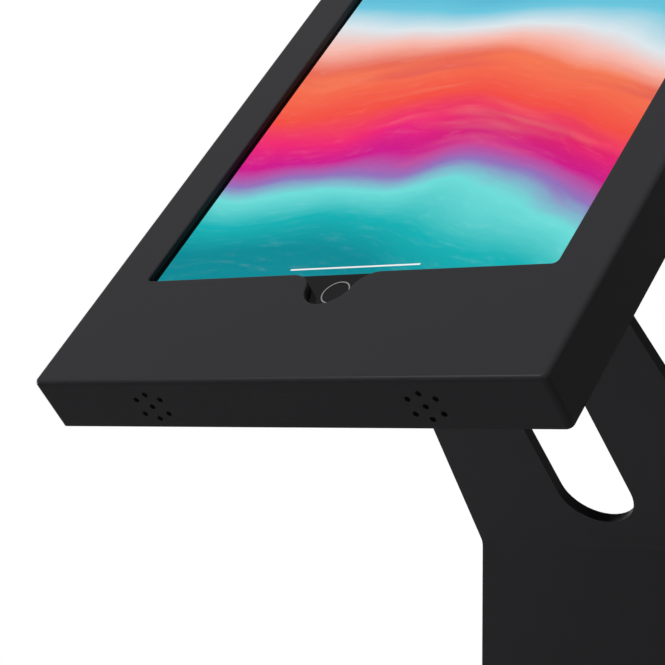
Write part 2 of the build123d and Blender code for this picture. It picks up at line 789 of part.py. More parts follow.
with BuildPart() as lock_barrel:
    with BuildSketch(at_depth(lock_outer_depth)):
        with Locations((lock_x, lock_up)):
            Circle(lock_flange_radius)
    extrude(amount=lock_flange_thickness)
    chamfer(
        lock_barrel.faces().sort_by(out_axis)[0].edges(), lock_flange_thickness / 3
    )
    with BuildSketch(at_depth(housing_depth)):
        with Locations((lock_x, lock_up)):
            Circle(lock_body_radius)
    extrude(amount=housing_sheet + lock_body_reach)
    with BuildSketch(at_depth(lock_outer_depth)):
        with Locations((lock_x, lock_up)):
            Circle(lock_plug_radius + lock_plug_clearance)
    extrude(
        amount=lock_flange_thickness + housing_sheet + lock_body_reach + overrun,
        mode=Mode.SUBTRACT,
    )
lock_barrel.part.label = "lock_barrel"
export_step(lock_barrel.part, "parts/lock_barrel.step")

with BuildPart() as lock_nut:
    with BuildSketch(at_depth(back_plate_inner_depth)):
        with Locations((lock_x, lock_up)):
            RegularPolygon(lock_nut_width / 2, 6, major_radius=False)
            Circle(lock_body_radius + thread_gap, mode=Mode.SUBTRACT)
    extrude(amount=lock_nut_height)
lock_nut.part.label = "lock_nut"
export_step(lock_nut.part, "parts/lock_nut.step")

with BuildPart() as lock_plug:
    with BuildSketch(at_depth(lock_outer_depth)):
        with Locations((lock_x, lock_up)):
            Circle(lock_plug_radius)
    extrude(amount=lock_outer_depth - cam_back_depth)
    with BuildSketch(at_depth(lock_outer_depth)):
        with Locations((lock_x, lock_up)):
            Rectangle(keyway_width, keyway_length)
    extrude(amount=keyway_depth, mode=Mode.SUBTRACT)
    with BuildSketch(at_depth(cam_back_depth)):
        with Locations((lock_x, lock_up)):
            Circle(cam_screw_radius + thread_gap)
    extrude(amount=-lock_body_reach / 2, mode=Mode.SUBTRACT)
lock_plug.part.label = "lock_plug"
export_step(lock_plug.part, "parts/lock_plug.step")

with BuildPart() as lock_cam:
    with BuildSketch(at_depth(cam_back_depth)):
        with Locations((lock_x, lock_up)):
            Circle(cam_width / 2)
            Rectangle(cam_length, cam_width, align=(Align.MAX, Align.CENTER))
            Circle(cam_screw_radius + thread_gap, mode=Mode.SUBTRACT)
    extrude(amount=cam_thickness)
    cam_tip = lock_cam.edges().filter_by(out_axis).sort_by(Axis.X)[:2]
    fillet(cam_tip, cam_width / 4)
lock_cam.part.label = "lock_cam"
export_step(lock_cam.part, "parts/lock_cam.step")

with BuildPart() as cam_screw:
    with BuildSketch(at_depth(cam_front_depth)):
        with Locations((lock_x, lock_up)):
            Circle(cam_screw_head_radius)
    extrude(amount=cam_screw_head_height)
    with BuildSketch(at_depth(cam_front_depth)):
        with Locations((lock_x, lock_up)):
            Circle(cam_screw_radius)
    extrude(amount=-(cam_thickness + lock_body_reach / 3))
cam_screw.part.label = "cam_screw"
export_step(cam_screw.part, "parts/cam_screw.step")

# Catch on the lower wall of the housing: an angle whose upright leg stands behind the locked cam
catch_front_depth = cam_back_depth + catch_gap

with BuildPart() as lock_catch:
    with BuildSketch(section_at(lock_x - catch_width / 2)):
        with BuildLine():
            FilletPolyline(
                (housing_sheet + catch_reach, -catch_front_depth),
                (housing_sheet, -catch_front_depth),
                (housing_sheet, -catch_front_depth - catch_leg),
                radius=2 * catch_sheet,
            )
            offset(amount=catch_sheet, side=Side.LEFT)
        make_face()
    extrude(amount=catch_width)
lock_catch.part.label = "lock_catch"
export_step(lock_catch.part, "parts/lock_catch.step")

# Tablet: glass, display, aluminium shell and what it holds
button_mid_depth = (shell_front_depth + shell_floor_depth) / 2
home_button_radius = home_ring_radius - home_ring_width - home_button_gap

with BuildPart() as tablet_glass:
    with BuildSketch(at_depth(shell_front_depth)):
        with Locations((0, tablet_mid_up)):
            RectangleRounded(tablet_width, tablet_height, tablet_corner_radius)
        with Locations((0, home_up)):
            Circle(home_ring_radius, mode=Mode.SUBTRACT)
    extrude(amount=glass_thickness)
tablet_glass.part.label = "tablet_glass"
export_step(tablet_glass.part, "parts/tablet_glass.step")

with BuildPart() as display_panel:
    with BuildSketch(at_depth(shell_front_depth)):
        with Locations((0, tablet_mid_up)):
            Rectangle(display_width, display_height)
    extrude(amount=-display_thickness)
display_panel.part.label = "display_panel"
export_step(display_panel.part, "parts/display_panel.step")

power_plane = Plane(
    origin=head_corner
    + Vector(tablet_width / 2 - power_button_inset, 0, 0)
    + head_up * tablet_high
    - head_out * button_mid_depth,
    x_dir=(1, 0, 0),
    z_dir=head_up,
)


def volume_plane(place):
    """Plane on the right side of the tablet at a button, with its X up the slope."""
    return Plane(
        origin=head_corner
        + Vector(tablet_width / 2, 0, 0)
        + head_up * (tablet_high - volume_button_drop + place * volume_button_pitch)
        - head_out * button_mid_depth,
        x_dir=head_up,
        z_dir=(1, 0, 0),
    )


port_plane = Plane(
    origin=head_corner + head_up * tablet_low - head_out * button_mid_depth,
    x_dir=(1, 0, 0),
    z_dir=-head_up,
)
button_planes = {
    "power_button": power_plane,
    "volume_up_button": volume_plane(1),
    "volume_down_button": volume_plane(0),
}
camera_place = (tablet_width / 2 - camera_inset, tablet_high - camera_inset)

with BuildPart() as tablet_shell:
    with BuildSketch(at_depth(shell_back_depth)):
        with Locations((0, tablet_mid_up)):
            RectangleRounded(tablet_width, tablet_height, tablet_corner_radius)
    extrude(amount=shell_depth)
    chamfer(tablet_shell.faces().sort_by(out_axis)[0].edges(), tablet_back_edge_chamfer)
    with BuildSketch(at_depth(shell_floor_depth)):
        with Locations((0, tablet_mid_up)):
            RectangleRounded(
                tablet_width - 2 * tablet_wall,
                tablet_height - 2 * tablet_wall,
                tablet_corner_radius - tablet_wall,
            )
    extrude(amount=shell_depth, mode=Mode.SUBTRACT)
    for button_plane in button_planes.values():
        with BuildSketch(button_plane):
            SlotOverall(
                side_button_length + 2 * side_button_gap,
                side_button_width + 2 * side_button_gap,
            )
        extrude(amount=-2 * tablet_wall, mode=Mode.SUBTRACT)
    with BuildSketch(port_plane):
        SlotOverall(port_width, port_height)
    extrude(amount=-2 * tablet_wall, mode=Mode.SUBTRACT)
    with BuildSketch(at_depth(shell_back_depth)):
        with Locations(camera_place):
            Circle(camera_radius)
    extrude(amount=tablet_wall + overrun, mode=Mode.SUBTRACT)
tablet_shell.part.label = "tablet_shell"
export_step(tablet_shell.part, "parts/tablet_shell.step")

# Home button in its ring, and the buttons in the sides of the shell
with BuildPart() as home_ring:
    with BuildSketch(at_depth(shell_front_depth)):
        with Locations((0, home_up)):
            Circle(home_ring_radius)
            Circle(home_ring_radius - home_ring_width, mode=Mode.SUBTRACT)
    extrude(amount=glass_thickness)
home_ring.part.label = "home_ring"
export_step(home_ring.part, "parts/home_ring.step")

with BuildPart() as home_button:
    with BuildSketch(at_depth(glass_depth + home_button_recess)):
        with Locations((0, home_up)):
            Circle(home_button_radius)
    extrude(amount=-home_button_depth)
home_button.part.label = "home_button"
export_step(home_button.part, "parts/home_button.step")


def side_button(button_plane):
    with BuildPart() as button:
        with BuildSketch(button_plane.offset(side_button_proud)):
            SlotOverall(side_button_length, side_button_width)
        extrude(amount=-side_button_depth)
    return button


for button_name, button_plane in button_planes.items():
    button = side_button(button_plane)
    button.part.label = button_name
    export_step(button.part, f"parts/{button_name}.step")

with BuildPart() as rear_camera:
    with BuildSketch(at_depth(shell_back_depth + camera_proud)):
        with Locations(camera_place):
            Circle(camera_radius)
    extrude(amount=camera_proud + tablet_wall)
    with BuildSketch(at_depth(shell_back_depth + camera_proud)):
        with Locations(camera_place):
            Circle(camera_glass_radius)
    extrude(amount=camera_proud, mode=Mode.SUBTRACT)
rear_camera.part.label = "rear_camera"
export_step(rear_camera.part, "parts/rear_camera.step")

# Inside the tablet: two battery cells, the logic board, two speakers and the charging port
battery_width = tablet_width / 2 - battery_side_gap - battery_split / 2
battery_height = tablet_height - battery_low_gap - battery_high_gap
battery_up = tablet_low + battery_low_gap + battery_height / 2

with BuildPart() as battery:
    with BuildSketch(at_depth(shell_floor_depth)):
        with Locations((0, battery_up)):
            with GridLocations(battery_width + battery_split, battery_height, 2, 1):
                Rectangle(battery_width, battery_height)
    extrude(amount=battery_thickness)
battery.part.label = "battery"
export_step(battery.part, "parts/battery.step")

board_up = tablet_high - battery_high_gap + board_height / 2 + tablet_wall
board_width = tablet_width - 2 * board_side_gap

with BuildPart() as logic_board:
    with BuildSketch(at_depth(shell_floor_depth)):
        with Locations((0, board_up)):
            with GridLocations(board_width - chip_width, board_height - chip_width / 2, 2, 2):
                Rectangle(chip_width / 3, chip_width / 3)
    extrude(amount=board_standoff)
    with BuildSketch(at_depth(shell_floor_depth - board_standoff)):
        with Locations((0, board_up)):
            Rectangle(board_width, board_height)
    extrude(amount=board_thickness)
    with BuildSketch(at_depth(shell_floor_depth - board_standoff - board_thickness)):
        with Locations((0, board_up)):
            with GridLocations(chip_pitch, board_height, chip_count, 1):
                Rectangle(chip_width, chip_width)
    extrude(amount=chip_thickness)
logic_board.part.label = "logic_board"
export_step(logic_board.part, "parts/logic_board.step")

speaker_box_x = tablet_width / 2 - speaker_box_inset - speaker_box_length / 2
speaker_box_up = tablet_low + tablet_wall + speaker_box_height / 2


def speaker_box(side):
    with BuildPart() as box:
        with BuildSketch(at_depth(shell_floor_depth)):
            with Locations((side * speaker_box_x, speaker_box_up)):
                Rectangle(speaker_box_length, speaker_box_height)
        extrude(amount=speaker_box_thickness)
    return box


for speaker_name, speaker_side in (("speaker_left", -1), ("speaker_right", 1)):
    speaker = speaker_box(speaker_side)
    speaker.part.label = speaker_name
    export_step(speaker.part, f"parts/{speaker_name}.step")

with BuildPart() as charging_port:
    with BuildSketch(port_plane):
        SlotOverall(port_width, port_height)
        SlotOverall(port_width - 2 * port_wall, port_height - 2 * port_wall, mode=Mode.SUBTRACT)
    extrude(amount=-port_depth)
    with BuildSketch(port_plane.offset(-port_depth)):
        SlotOverall(port_width, port_height)
    extrude(amount=-port_wall)
charging_port.part.label = "charging_port"
export_step(charging_port.part, "parts/charging_port.step")

# Foam gasket between the front sheet and the glass, flush with the opening, and left out below the
# notch, where the rim of the glass is narrow
gasket_width = tablet_width - 2 * gasket_edge
gasket_height = tablet_height - 2 * gasket_edge

with BuildPart() as gasket:
    with BuildSketch(at_depth(housing_sheet)):
        with Locations((0, tablet_mid_up)):
            RectangleRounded(gasket_width, gasket_height, tablet_corner_radius)
        add(opening_outline.sketch_local, mode=Mode.SUBTRACT)
        with Locations((0, home_up)):
            Rectangle(
                notch_radius,
                2 * notch_radius,
                align=(Align.CENTER, Align.MAX),
                mode=Mode.SUBTRACT,
            )
    extrude(amount=-(glass_gap - gasket_glass_gap))
gasket.part.label = "gasket"
export_step(gasket.part, "parts/gasket.step")


# Corner blocks: moulded angles on the back plate, each with a pocket for a corner of the tablet
def corner_block(side, up_side):
    corner_x = side * (tablet_width / 2 + block_clearance + block_wall)
    corner_up = tablet_mid_up + up_side * (tablet_height / 2 + block_clearance + block_wall)
    inner_x = corner_x - side * block_size
    inner_up = corner_up - up_side * block_size
    align_x = Align.MAX if side > 0 else Align.MIN
    align_up = Align.MAX if up_side > 0 else Align.MIN
    away_x = Align.MIN if side > 0 else Align.MAX
    away_up = Align.MIN if up_side > 0 else Align.MAX
    with BuildPart() as block:
        with BuildSketch(at_depth(back_plate_inner_depth)):
            with Locations((corner_x, corner_up)):
                Rectangle(block_size, block_size, align=(align_x, align_up))
            with Locations((inner_x, inner_up)):
                Rectangle(
                    block_size - block_arm,
                    block_size - block_arm,
                    align=(away_x, away_up),
                    mode=Mode.SUBTRACT,
                )
        extrude(amount=back_plate_inner_depth - shell_front_depth - block_drop)
        fillet(block.edges().filter_by(out_axis), block_corner_radius)
        with BuildSketch(at_depth(shell_back_depth)):
            with Locations((0, tablet_mid_up)):
                RectangleRounded(
                    tablet_width + 2 * block_clearance,
                    tablet_height + 2 * block_clearance,
                    tablet_corner_radius,
                )
        extrude(amount=shell_depth, mode=Mode.SUBTRACT)
    return block


block_sides = {
    "corner_block_lower_left": (-1, -1),
    "corner_block_lower_right": (1, -1),
    "corner_block_upper_left": (-1, 1),
    "corner_block_upper_right": (1, 1),
}
for block_name, (block_side, block_up_side) in block_sides.items():
    block = corner_block(block_side, block_up_side)
    block.part.label = block_name
    export_step(block.part, f"parts/{block_name}.step")
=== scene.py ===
import math

import bpy
import numpy as np
from mathutils import Matrix, Vector


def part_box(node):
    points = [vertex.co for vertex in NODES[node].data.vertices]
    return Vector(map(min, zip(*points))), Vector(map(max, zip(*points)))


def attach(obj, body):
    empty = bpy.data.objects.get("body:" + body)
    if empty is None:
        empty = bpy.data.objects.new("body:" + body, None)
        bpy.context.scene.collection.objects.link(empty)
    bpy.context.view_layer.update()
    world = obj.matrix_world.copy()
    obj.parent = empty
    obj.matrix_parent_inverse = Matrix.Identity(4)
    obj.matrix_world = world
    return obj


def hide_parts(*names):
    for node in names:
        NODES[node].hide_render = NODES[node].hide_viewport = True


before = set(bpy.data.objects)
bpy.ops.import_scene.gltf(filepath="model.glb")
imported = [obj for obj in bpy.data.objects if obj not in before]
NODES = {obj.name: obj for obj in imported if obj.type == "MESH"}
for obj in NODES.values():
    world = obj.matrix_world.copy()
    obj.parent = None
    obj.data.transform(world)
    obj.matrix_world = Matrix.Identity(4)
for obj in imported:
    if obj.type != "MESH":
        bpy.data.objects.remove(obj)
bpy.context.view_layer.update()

bl_info = {
    "name": "Tablet kiosk stand",
    "version": (1, 0, 0),
    "blender": (4, 5, 0),
    "location": "View3D > Sidebar > Kiosk",
    "description": "Finishes, lit screen and studio for a tablet kiosk on a floor stand",
    "category": "Object",
}

MM = 0.001
WHITE = (1.0, 1.0, 1.0, 1.0)

# The housing leans back: UP runs up its face and OUT points out of the screen
SCREEN_TILT = math.radians(45.0)
ACROSS = Vector((1.0, 0.0, 0.0))
UP = Vector((0.0, math.cos(SCREEN_TILT), math.sin(SCREEN_TILT)))
OUT = Vector((0.0, -math.sin(SCREEN_TILT), math.cos(SCREEN_TILT)))


def span(node, direction):
    """Lowest and highest place of a CAD node along a direction, read from its mesh."""
    mesh = NODES[node].data
    points = np.empty(len(mesh.vertices) * 3)
    mesh.vertices.foreach_get("co", points)
    along = points.reshape(-1, 3) @ np.array(direction)
    return float(along.min()), float(along.max())


class Value:
    """A number that changes over a surface. Each operator on it adds one Math node."""

    def __init__(self, shader, socket):
        self.shader = shader
        self.socket = socket

    def __add__(self, other):
        return self.shader.math("ADD", self, other)

    def __radd__(self, other):
        return self.shader.math("ADD", other, self)

    def __sub__(self, other):
        return self.shader.math("SUBTRACT", self, other)

    def __rsub__(self, other):
        return self.shader.math("SUBTRACT", other, self)

    def __mul__(self, other):
        return self.shader.math("MULTIPLY", self, other)

    def __truediv__(self, other):
        return self.shader.math("DIVIDE", self, other)

    def __abs__(self):
        return self.shader.math("ABSOLUTE", self)

    def __lt__(self, other):
        return self.shader.math("LESS_THAN", self, other)

    def step(self, low, high):
        """The smooth step of this value."""
        return self.shader.smooth_step(self, low, high)


class Shader:
    """The nodes of one material, or of the world where it is given: every node is added by node(),
    and sums are written with Value."""

    def __init__(self, name, world=None):
        self.material = world or bpy.data.materials.new(name)
        self.material.use_nodes = True
        self.tree = self.material.node_tree
        self.tree.nodes.clear()

    def node(self, kind, settings=None, inputs=None):
        """Adds a node: its settings or a ramp's stops first, then its sockets' values or links."""
        node = self.tree.nodes.new(kind)
        for key, value in (settings or {}).items():
            if key == "stops":
                self.set_stops(node.color_ramp, value)
            else:
                setattr(node, key, value)
        for key, value in (inputs or {}).items():
            if isinstance(value, Value):
                self.tree.links.new(value.socket, node.inputs[key])
            elif isinstance(value, bpy.types.NodeSocket):
                self.tree.links.new(value, node.inputs[key])
            else:
                node.inputs[key].default_value = value
        return node

    @staticmethod
    def set_stops(ramp, stops):
        """Gives a colour ramp its stops, each a place and a colour."""
        while len(ramp.elements) > 1:
            ramp.elements.remove(ramp.elements[-1])
        ramp.elements[0].position, ramp.elements[0].color = stops[0]
        for place, colour in stops[1:]:
            ramp.elements.new(place).color = colour

    def math(self, operation, *values):
        """One Math node on values or numbers."""
        node = self.node("ShaderNodeMath", {"operation": operation}, dict(enumerate(values)))
        return Value(self, node.outputs[0])

    def smooth_step(self, value, low, high):
        """0 below low, 1 above high and a smooth rise between them."""
        node = self.node(
            "ShaderNodeMapRange",
            {"interpolation_type": "SMOOTHSTEP"},
            {"Value": value, "From Min": low, "From Max": high},
        )
        return Value(self, node.outputs["Result"])

    def place(self):
        """Object coordinates, which are the frame's own metres."""
        return self.node("ShaderNodeTexCoord").outputs["Object"]

    def along(self, direction):
        """Distance along a direction, in metres from the frame's origin."""
        inputs = {0: self.place(), 1: tuple(direction)}
        node = self.node("ShaderNodeVectorMath", {"operation": "DOT_PRODUCT"}, inputs)
        return Value(self, node.outputs["Value"])

    def noise(self, size, detail=2.0, rough=0.5, stretch=(1.0, 1.0, 1.0), turn=(0.0, 0.0, 0.0)):
        """Noise whose spots are about size metres across and stretch times as long along three
        axes, which are the frame's own after a turn."""
        inputs = {"Vector": self.place(), "Rotation": turn, "Scale": stretch}
        mapping = self.node("ShaderNodeMapping", {"vector_type": "TEXTURE"}, inputs)
        return self.noise_at(mapping.outputs[0], 1.0 / size, detail, rough)

    def noise_at(self, vector, scale, detail=2.0, rough=0.5):
        """Noise read at a vector times scale."""
        inputs = {"Vector": vector, "Scale": scale, "Detail": detail, "Roughness": rough}
        return Value(self, self.node("ShaderNodeTexNoise", None, inputs).outputs["Fac"])

    def vector(self, x, y, z=0.0):
        """Vector of three values or numbers."""
        return self.node("ShaderNodeCombineXYZ", None, {0: x, 1: y, 2: z}).outputs[0]

    def parts(self, vector):
        """The x, y and z of a vector."""
        node = self.node("ShaderNodeSeparateXYZ", None, {0: vector})
        return [Value(self, socket) for socket in node.outputs]

    def mix(self, share, first, second):
        """Colour that goes from first to second as share goes from 0 to 1."""
        node = self.node("ShaderNodeMix", {"data_type": "RGBA"}, {0: share, 6: first, 7: second})
        return node.outputs[2]

    def bump(self, height, depth, normal=None):
        """Normal of a surface raised by height times depth, in metres."""
        inputs = {"Height": height, "Distance": depth, "Strength": 1.0}
        if normal is not None:
            inputs["Normal"] = normal
        return self.node("ShaderNodeBump", None, inputs).outputs[0]

    def surface(self, inputs):
        """Ends the material with one principled shader that has these inputs."""
        shader = self.node("ShaderNodeBsdfPrincipled", None, inputs)
        self.node("ShaderNodeOutputMaterial", None, {"Surface": shader.outputs[0]})
        return self.material


def tone(red, green, blue):
    """Colour of a swatch, given as it looks on a screen from 0 to 255, in linear light."""
    levels = [level / 255.0 for level in (red, green, blue)]
    linear = [((v + 0.055) / 1.055) ** 2.4 if v > 0.04045 else v / 12.92 for v in levels]
    return (*linear, 1.0)


def shade(colour, factor):
    """The colour made lighter or darker by a factor."""
    return (*[min(1.0, level * factor) for level in colour[:3]], 1.0)


def powder_coat(name, colour, roughness):
    """Matt powder coat: fine orange peel, faint cloudiness in its colour and gloss, sparse specks,
    and near the floor the dust and the scuffs that shoes leave."""
    dusty_height = 10.0 * MM
    clean_height = 90.0 * MM
    scuff_stretch = (9.0, 1.0, 1.0)
    scuff_turn = (0.0, 0.0, 0.5)
    coat = Shader(name)
    cloud = coat.noise(0.09, detail=3.0)
    peel = coat.noise(0.0016, detail=1.0)
    grain = coat.noise(0.0004, detail=2.0)
    specks = coat.noise(0.0007, detail=4.0, rough=0.7).step(0.72, 0.80)
    height = coat.along((0.0, 0.0, 1.0))
    low = 1.0 - height.step(dusty_height, clean_height)
    dust = low * coat.noise(0.03, detail=5.0, rough=0.6).step(0.35, 0.85)
    streaks = coat.noise(0.0035, detail=3.0, stretch=scuff_stretch, turn=scuff_turn)
    scuffs = low * streaks.step(0.66, 0.74)
    base = coat.mix(cloud, shade(colour, 0.95), shade(colour, 1.05))
    base = coat.mix(specks * 0.05 + dust * 0.10 + scuffs * 0.16, base, tone(128, 126, 122))
    return coat.surface({
        "Base Color": base,
        "Roughness": roughness + (cloud - 0.5) * 0.06 + (grain - 0.5) * 0.06 + dust * 0.10,
        "Specular IOR Level": 0.01,
        "Normal": coat.bump(peel + grain * 0.35, 0.02 * MM),
    })


def zinc_plate(name):
    """Zinc plated steel: bluish, lightly clouded, with fine drawing lines."""
    zinc = Shader(name)
    cloud = zinc.noise(0.006, detail=3.0)
    lines = zinc.noise(0.0006, stretch=(1.0, 1.0, 16.0))
    base = zinc.mix(cloud, tone(118, 122, 128), tone(148, 150, 153))
    return zinc.surface({
        "Base Color": base,
        "Metallic": 1.0,
        "Roughness": 0.44 + cloud * 0.20,
        "Normal": zinc.bump(lines, 0.01 * MM),
    })


def black_oxide(name):
    """Blackened steel with worn, lighter spots where a tool has turned it."""
    oxide = Shader(name)
    worn = oxide.noise(0.0012, detail=4.0).step(0.58, 0.72)
    base = oxide.mix(worn * 0.35, tone(34, 34, 36), tone(96, 94, 92))
    return oxide.surface({
        "Base Color": base,
        "Metallic": 0.75,
        "Roughness": 0.42 - worn * 0.12,
        "Normal": oxide.bump(oxide.noise(0.0005), 0.01 * MM),
    })


def chrome_plate(name):
    """Bright plating with hair-fine swirls from keys and fingers."""
    chrome = Shader(name)
    swirl = chrome.noise(0.0009, detail=5.0, stretch=(1.0, 5.0, 1.0)).step(0.6, 0.7)
    return chrome.surface({
        "Base Color": tone(206, 208, 212),
        "Metallic": 1.0,
        "Roughness": 0.09 + swirl * 0.14,
        "Normal": chrome.bump(swirl, 0.003 * MM),
    })


def moulded_plastic(name, colour, roughness, grain_size):
    """Moulded plastic with a fine spark-eroded grain."""
    plastic = Shader(name)
    grain = plastic.noise(grain_size, detail=3.0, rough=0.65)
    cloud = plastic.noise(0.02)
    return plastic.surface({
        "Base Color": plastic.mix(cloud, shade(colour, 0.9), shade(colour, 1.12)),
        "Roughness": roughness + (grain - 0.5) * 0.2,
        "Specular IOR Level": 0.35,
        "Normal": plastic.bump(grain, 0.03 * MM),
    })


def ribbed_rubber(name, ring_pitch):
    """Moulded rubber, dull, with fine dust and a faint ribbing across its height."""
    rubber = Shader(name)
    bloom = rubber.noise(0.008, detail=4.0).step(0.45, 0.8)
    ribs = rubber.math("SINE", rubber.along((0.0, 0.0, 1.0)) * (2.0 * math.pi / ring_pitch))
    return rubber.surface({
        "Base Color": rubber.mix(bloom * 0.4, tone(24, 24, 25), tone(62, 61, 60)),
        "Roughness": 0.72 + bloom * 0.12,
        "Specular IOR Level": 0.3,
        "Normal": rubber.bump(ribs * 0.3 + rubber.noise(0.0006), 0.04 * MM),
    })


def closed_foam(name):
    """Closed-cell foam strip: dark, with small open pores."""
    cell_size = 0.5 * MM
    foam = Shader(name)
    inputs = {"Vector": foam.place(), "Scale": 1.0 / cell_size}
    cells = Value(foam, foam.node("ShaderNodeTexVoronoi", None, inputs).outputs["Distance"])
    return foam.surface({
        "Base Color": foam.mix(cells, tone(12, 12, 13), tone(32, 32, 33)),
        "Roughness": 0.9,
        "Specular IOR Level": 0.03,
        "Normal": foam.bump(cells, 0.1 * MM),
    })


def anodised(name, colour):
    """Bead-blasted, anodised aluminium: an even metal with a very fine sparkle."""
    metal = Shader(name)
    blast = metal.noise(0.0003, detail=3.0)
    return metal.surface({
        "Base Color": metal.mix(blast, shade(colour, 0.9), shade(colour, 1.1)),
        "Metallic": 1.0,
        "Roughness": 0.38 + (blast - 0.5) * 0.16,
        "Normal": metal.bump(blast, 0.004 * MM),
    })


def face_smears(shader, size):
    """Noise drawn out up the leaning face, like the smears of fingertips."""
    return shader.noise(size, detail=4.0, stretch=(1.0, 2.5, 1.0), turn=(SCREEN_TILT, 0.0, 0.0))


def polished(name, colour, roughness, shine):
    """Polished dark surface with faint smears; shine is how strongly it mirrors."""
    gloss = Shader(name)
    smear = face_smears(gloss, 0.003)
    return gloss.surface({
        "Base Color": gloss.mix(smear, colour, shade(colour, 1.25)),
        "Roughness": roughness + smear * 0.05,
        "Specular IOR Level": shine,
        "Normal": gloss.bump(smear, 0.001 * MM),
    })


def circuit_board(name):
    """Green board with copper runs under its lacquer."""
    board = Shader(name)
    run_pitch = 1.6 * MM
    run_half_width = 0.12  # share of the pitch
    across = board.math("FRACT", board.along(ACROSS) / run_pitch)
    along = board.math("FRACT", board.along(UP) / run_pitch)
    upright = (abs(across - 0.5) < run_half_width) * board.noise(0.012).step(0.45, 0.5)
    level = (abs(along - 0.5) < run_half_width) * board.noise(0.009).step(0.5, 0.55)
    runs = board.math("MAXIMUM", upright, level)
    return board.surface({
        "Base Color": board.mix(runs, tone(16, 62, 38), tone(46, 118, 66)),
        "Roughness": 0.35,
        "Normal": board.bump(runs, 0.03 * MM),
    })


def cell_wrap(name):
    """Matt black wrap of a battery cell, with soft, drawn-out wrinkles."""
    wrap = Shader(name)
    wrinkles = wrap.noise(0.006, detail=5.0, stretch=(3.0, 1.0, 1.0))
    return wrap.surface({
        "Base Color": wrap.mix(wrinkles, tone(26, 26, 28), tone(44, 44, 46)),
        "Roughness": 0.5 + wrinkles * 0.2,
        "Normal": wrap.bump(wrinkles, 0.15 * MM),
    })


def put_on(material, *names):
    """Gives CAD nodes this material in every slot."""
    for name in names:
        slots = NODES[name].material_slots
        if not slots:
            NODES[name].data.materials.append(material)
        for slot in slots:
            slot.material = material


def grid_piece(name, points, uv=True):
    """Mesh of a grid of points, as rows by columns by three: each cell becomes a four-sided face,
    and the texture coordinates run from 0 to 1 along the columns and up the rows."""
    rows, columns = points.shape[:2]
    index = np.arange(rows * columns).reshape(rows, columns)
    faces = np.stack([index[:-1, :-1], index[:-1, 1:], index[1:, 1:], index[1:, :-1]], axis=-1)
    mesh = bpy.data.meshes.new(name)
    mesh.from_pydata(points.reshape(-1, 3), [], faces.reshape(-1, 4))
    if uv:
        across, up = np.meshgrid(np.linspace(0.0, 1.0, columns), np.linspace(0.0, 1.0, rows))
        places = np.stack([across, up], axis=-1).reshape(-1, 2)
        corners = np.empty(len(mesh.loops), dtype=np.int32)
        mesh.loops.foreach_get("vertex_index", corners)
        layer = mesh.uv_layers.new(name="UVMap")
        layer.data.foreach_set("uv", places[corners].ravel().astype(np.float32))
    mesh.update()
    piece = bpy.data.objects.new(name, mesh)
    bpy.context.scene.collection.objects.link(piece)
    return piece


class KioskSettings(bpy.types.PropertyGroup):
    """What the panel lets a user change before the operators run"""

    coat_colour: bpy.props.FloatVectorProperty(
        name="Coat colour", description="Colour of the powder coat", subtype="COLOR",
        size=3, min=0.0, max=1.0, default=(0.040, 0.040, 0.0428),
    )
    coat_roughness: bpy.props.FloatProperty(
        name="Coat roughness", description="0 is glossy, 1 is dull", default=0.32, min=0.0, max=1.0,
        subtype="FACTOR",
    )
    shell_colour: bpy.props.FloatVectorProperty(
        name="Shell colour", description="Colour of the tablet's metal shell", subtype="COLOR",
        size=3, min=0.0, max=1.0, default=(0.19, 0.19, 0.2),
    )
    screen_light: bpy.props.FloatProperty(
        name="Screen light", description="Strength of the lit screen", default=1.0, min=0.0,
        max=4.0,
    )
    slider_length: bpy.props.FloatProperty(
        name="Slider length", description="Length of the bar at the foot of the screen",
        default=51.1 * MM, min=0.0, unit="LENGTH",
    )
    slider_thickness: bpy.props.FloatProperty(
        name="Slider thickness", description="Thickness of that bar", default=0.7 * MM, min=0.0,
        unit="LENGTH",
    )
    slider_height: bpy.props.FloatProperty(
        name="Slider height", description="Distance of the bar above the foot of the picture",
        default=4.3 * MM, min=0.0, unit="LENGTH",
    )
    picture_depth: bpy.props.FloatProperty(
        name="Picture depth", description="Thickness of the lit layer under the glass",
        default=0.3 * MM, min=0.0, unit="LENGTH",
    )
    floor_colour: bpy.props.FloatVectorProperty(
        name="Floor colour", description="Colour of the studio floor", subtype="COLOR",
        size=3, min=0.0, max=1.0, default=(0.8, 0.8, 0.8),
    )
    floor_radius: bpy.props.FloatProperty(
        name="Floor radius", description="Radius of the studio floor", default=4.0, min=0.5,
        unit="LENGTH",
    )
    world_light: bpy.props.FloatProperty(
        name="World light", description="Strength of the light that comes from all round",
        default=0.005, min=0.0, max=1.0,
    )


class KIOSK_OT_powder_coat(bpy.types.Operator):
    """Coat the base, the column, the housing and its back plate"""

    bl_idname = "kiosk.powder_coat"
    bl_label = "Powder coat"

    def execute(self, context):
        settings = context.scene.kiosk
        colour = (*settings.coat_colour, 1.0)
        coat = powder_coat("black_powder_coat", colour, settings.coat_roughness)
        put_on(coat, "base_plate", "column_plate", "column_channel", "rear_cover",
               "front_housing", "back_plate")
        return {"FINISHED"}


class KIOSK_OT_fasteners(bpy.types.Operator):
    """Finish the screws, bolts, nuts, the hinge pin and the catch"""

    bl_idname = "kiosk.fasteners"
    bl_label = "Fasteners"

    def execute(self, context):
        put_on(zinc_plate("zinc_plate"), "foot_screws", "clinch_nuts", "hinge_pin", "lock_nut",
               "lock_cam", "cam_screw", "lock_catch")
        put_on(black_oxide("black_oxide"), "foot_bolts", "rear_cover_screws", "flange_screws")
        return {"FINISHED"}


class KIOSK_OT_lock(bpy.types.Operator):
    """Plate the barrel and the plug of the lock"""

    bl_idname = "kiosk.lock"
    bl_label = "Lock"

    def execute(self, context):
        put_on(chrome_plate("lock_chrome"), "lock_barrel", "lock_plug")
        return {"FINISHED"}


